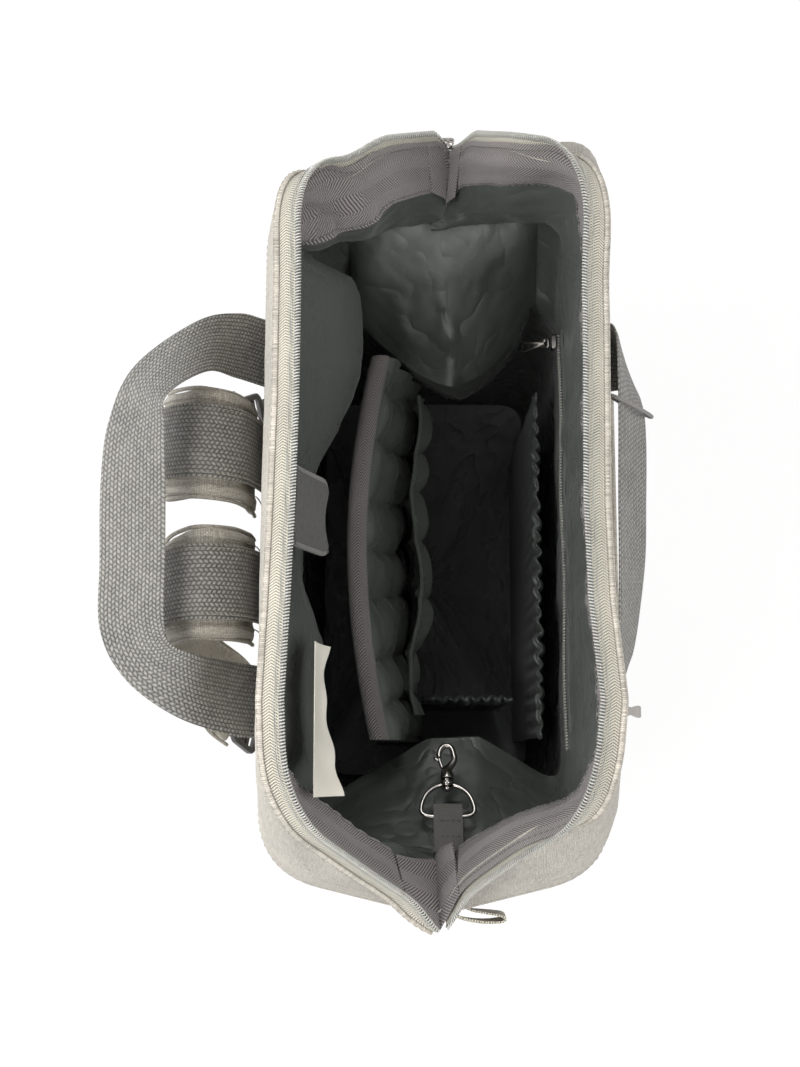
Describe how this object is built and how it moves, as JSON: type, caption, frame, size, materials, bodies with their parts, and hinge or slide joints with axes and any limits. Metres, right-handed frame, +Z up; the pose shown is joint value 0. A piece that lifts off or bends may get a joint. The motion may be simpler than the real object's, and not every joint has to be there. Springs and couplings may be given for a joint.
{
  "type": "diaper backpack",
  "caption": "Boxy diaper backpack with a wide zipped frame mouth held open, webbing handles, padded straps, lined inside with pockets and a key clip",
  "frame": {"origin": "centre of the base's underside, where the bag stands", "axes": "+Z up; +X along the long sides towards the end with the zip slider; +Y towards the shoulder straps, so the zip pocket faces -Y"},
  "size_m": [0.448, 0.3158, 0.4263],
  "materials": {
    "outer": "heather twill weave, light warm grey-beige",
    "webbing": "coarse basket-weave webbing, mid grey",
    "zip_tape": "herringbone tape, light beige",
    "coil": "moulded nylon coil, satin",
    "binding": "herringbone twill binding, brown-grey",
    "lining": "smooth nylon, satin, dark green-grey",
    "steel": "spring steel wire",
    "dark_metal": "plated, dark nickel, semi-gloss",
    "label": "woven satin label, blank, off-white",
    "padding": "foam padding in a cloth skin",
    "board": "stiff sheet",
    "plastic": "moulded, fine grain",
    "elastic": "round elastic in a braided skin"
  },
  "bodies": {
    "bag": {"back_padding": "padding", "back_panel": "outer", "back_panel_top": "outer", "base_board": "board", "base_panel": "outer", "front_panel": "outer", "front_panel_top": "outer", "front_pocket": "outer", "gathered_pocket_end": "lining", "gathered_pocket_front": "lining", "gusset_left": "outer", "gusset_right": "outer", "inner_zip_coil": "coil", "inner_zip_tape": "lining", "key_tab": "webbing", "lining_bag": "lining", "lining_top_back": "lining", "lining_top_front": "lining", "lining_top_left": "lining", "lining_top_right": "lining", "lower_webbing_left": "webbing", "lower_webbing_right": "webbing", "main_slider": "dark_metal", "pocket_zip_coil": "coil", "pocket_zip_tape": "zip_tape", "side_loop": "outer", "side_panel_left": "outer", "side_panel_right": "outer", "side_pocket_left": "outer", "side_pocket_right": "outer", "sleeve_binding": "binding", "sleeve_panel": "lining", "slip_pocket": "lining", "strap_buckle_left": "plastic", "strap_buckle_right": "plastic", "strap_pad_left": "outer", "strap_pad_right": "outer", "strap_webbing_left": "webbing", "strap_webbing_right": "webbing"},
    "mouth_front": {"zip_tape_front": "zip_tape", "zip_coil_front": "coil", "binding_front": "binding", "frame_wire_front": "steel"},
    "mouth_back": {"zip_tape_back": "zip_tape", "zip_coil_back": "coil", "binding_back": "binding", "frame_wire_back": "steel"},
    "front_handle": {"front_handle": "webbing", "elastic_cord": "elastic"},
    "main_puller": {"main_puller": "dark_metal"},
    "inner_slider": {"inner_slider": "dark_metal"},
    "inner_puller": {"inner_puller": "dark_metal"},
    "pocket_slider": {"pocket_slider": "dark_metal"},
    "pocket_puller": {"pocket_puller": "dark_metal"},
    "back_handle": {"back_handle": "webbing"},
    "closure_tab": {"closure_tab": "webbing"},
    "care_label": {"care_label": "label"},
    "key_ring": {"key_ring": "dark_metal"},
    "snap_hook": {"snap_hook": "dark_metal"},
    "snap_gate": {"snap_gate": "dark_metal"}
  },
  "joints": [
    {"name": "mouth_front_hinge", "type": "hinge", "parent": "bag", "child": "mouth_front", "pos_m": [0, 0, 0.325], "axis": [-1, 0, 0], "range_deg": [0, 33.5], "deforming": ["front_panel_top", "gusset_left", "gusset_right", "lining_top_front", "lining_top_left", "lining_top_right"]},
    {"name": "mouth_back_hinge", "type": "hinge", "parent": "bag", "child": "mouth_back", "pos_m": [0, 0, 0.325], "axis": [1, 0, 0], "range_deg": [0, 33.5], "deforming": ["back_panel_top", "lining_top_back"]},
    {"name": "back_handle_swing", "type": "hinge", "parent": "bag", "child": "back_handle", "pos_m": [0, 0.0962, 0.29], "axis": [1, 0, 0], "range_deg": [-3, 30]},
    {"name": "front_handle_swing", "type": "hinge", "parent": "bag", "child": "front_handle", "pos_m": [0, -0.0962, 0.276], "axis": [1, 0, 0], "range_deg": [0, 140]},
    {"name": "closure_tab_swing", "type": "hinge", "parent": "mouth_back", "child": "closure_tab", "pos_m": [-0.009, 0.07066, 0.40554], "axis": [-1, 0, 0], "range_deg": [0, 80]},
    {"name": "care_label_swing", "type": "hinge", "parent": "mouth_back", "child": "care_label", "pos_m": [-0.103, 0.06896, 0.39583], "axis": [-1, 0, 0], "range_deg": [0, 60]},
    {"name": "main_puller_swing", "type": "hinge", "parent": "bag", "child": "main_puller", "pos_m": [0.21942, 0, 0.32163], "axis": [0, -1, 0], "range_deg": [0, 140]},
    {"name": "inner_slider_travel", "type": "slide", "parent": "bag", "child": "inner_slider", "axis": [-1, 0, 0], "range_m": [0, 0.215]},
    {"name": "inner_puller_swing", "type": "hinge", "parent": "inner_slider", "child": "inner_puller", "pos_m": [0.1075, -0.068, 0.2858], "axis": [1, 0, 0], "range_deg": [0, 100]},
    {"name": "pocket_slider_travel", "type": "slide", "parent": "bag", "child": "pocket_slider", "axis": [1, 0, 0], "range_m": [0, 0.195]},
    {"name": "pocket_puller_swing", "type": "hinge", "parent": "pocket_slider", "child": "pocket_puller", "pos_m": [-0.1005, -0.12211, 0.17781], "axis": [-1, 0, 0], "range_deg": [0, 140]},
    {"name": "key_ring_swing", "type": "hinge", "parent": "bag", "child": "key_ring", "pos_m": [-0.16142, -0.0075, 0.29674], "axis": [0, -1, 0], "range_deg": [0, 60]},
    {"name": "snap_hook_swivel", "type": "hinge", "parent": "key_ring", "child": "snap_hook", "pos_m": [-0.1429, -0.0075, 0.28622], "axis": [0.8697, 0, -0.4936], "continuous": true},
    {"name": "snap_gate_hinge", "type": "hinge", "parent": "snap_hook", "child": "snap_gate", "pos_m": [-0.13577, -0.00496, 0.28217], "axis": [-0.4936, 0, -0.8697], "range_deg": [0, 25], "stiffness_Nm_per_rad": 0.004}
  ],
  "couplings": [
    {"joint": "mouth_back_hinge", "follows": "mouth_front_hinge", "ratio": 1}
  ]
}
